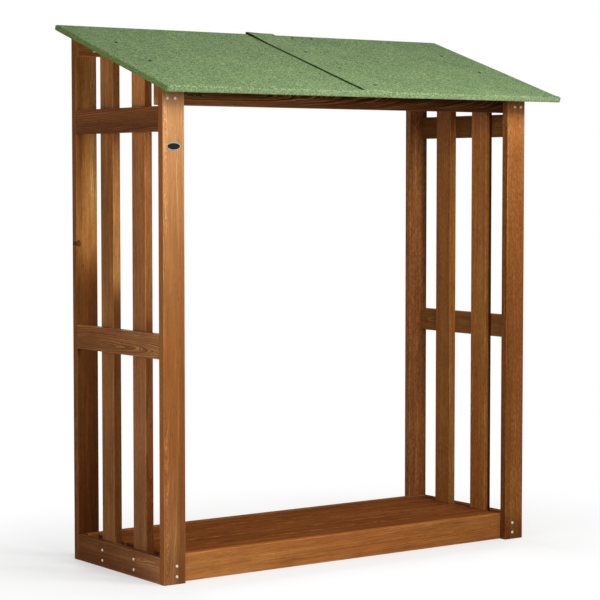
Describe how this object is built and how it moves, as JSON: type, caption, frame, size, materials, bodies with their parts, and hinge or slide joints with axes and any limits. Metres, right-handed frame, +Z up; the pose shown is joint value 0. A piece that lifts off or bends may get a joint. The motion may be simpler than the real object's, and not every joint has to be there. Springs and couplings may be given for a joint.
{
  "type": "log store",
  "caption": "Open-fronted slatted timber log store with a raised board floor and a mono-pitch roof covered in mineral felt.",
  "frame": {"origin": "on the ground, under the middle of the whole store with its roof overhangs", "axes": "+X to the right seen from the front, +Y from the open front to the rear, +Z up"},
  "size_m": [1.862, 0.8102, 2.0628],
  "materials": {
    "frame_wood": "planed pine, brown translucent stain, satin",
    "slat_wood": "planed pine, brown translucent stain, satin",
    "floor_wood": "planed pine, dark brown stain",
    "roof_wood": "planed pine, dark brown stain",
    "roof_felt": "bitumen felt with green mineral granules, matt",
    "badge": "blank dark plate with a pale rim",
    "fixings": "zinc-plated screw heads and clout nails"
  },
  "bodies": {
    "root": {"badge_plate": "badge", "bottom_rail_front": "frame_wood", "bottom_rail_rear": "frame_wood", "deck_board_1": "roof_wood", "deck_board_2": "roof_wood", "deck_board_3": "roof_wood", "deck_board_4": "roof_wood", "deck_board_5": "roof_wood", "deck_board_6": "roof_wood", "deck_board_7": "roof_wood", "deck_board_8": "roof_wood", "deck_board_9": "roof_wood", "felt_eaves_strip": "roof_felt", "felt_left": "roof_felt", "felt_right": "roof_felt", "floor_bearer_1": "floor_wood", "floor_bearer_2": "floor_wood", "floor_bearer_3": "floor_wood", "floor_bearer_4": "floor_wood", "floor_board_1": "floor_wood", "floor_board_2": "floor_wood", "floor_board_3": "floor_wood", "floor_board_4": "floor_wood", "floor_board_5": "floor_wood", "post_front_left": "frame_wood", "post_front_right": "frame_wood", "post_rear_left": "frame_wood", "post_rear_right": "frame_wood", "rafter_left": "roof_wood", "rafter_middle": "roof_wood", "rafter_right": "roof_wood", "side_rail_left_bottom": "frame_wood", "side_rail_left_middle": "frame_wood", "side_rail_left_upper": "frame_wood", "side_rail_right_bottom": "frame_wood", "side_rail_right_middle": "frame_wood", "side_rail_right_upper": "frame_wood", "slat_left_1": "slat_wood", "slat_left_2": "slat_wood", "slat_right_1": "slat_wood", "slat_right_2": "slat_wood", "top_beam_front": "frame_wood", "top_beam_rear": "frame_wood"}
  },
  "joints": []
}
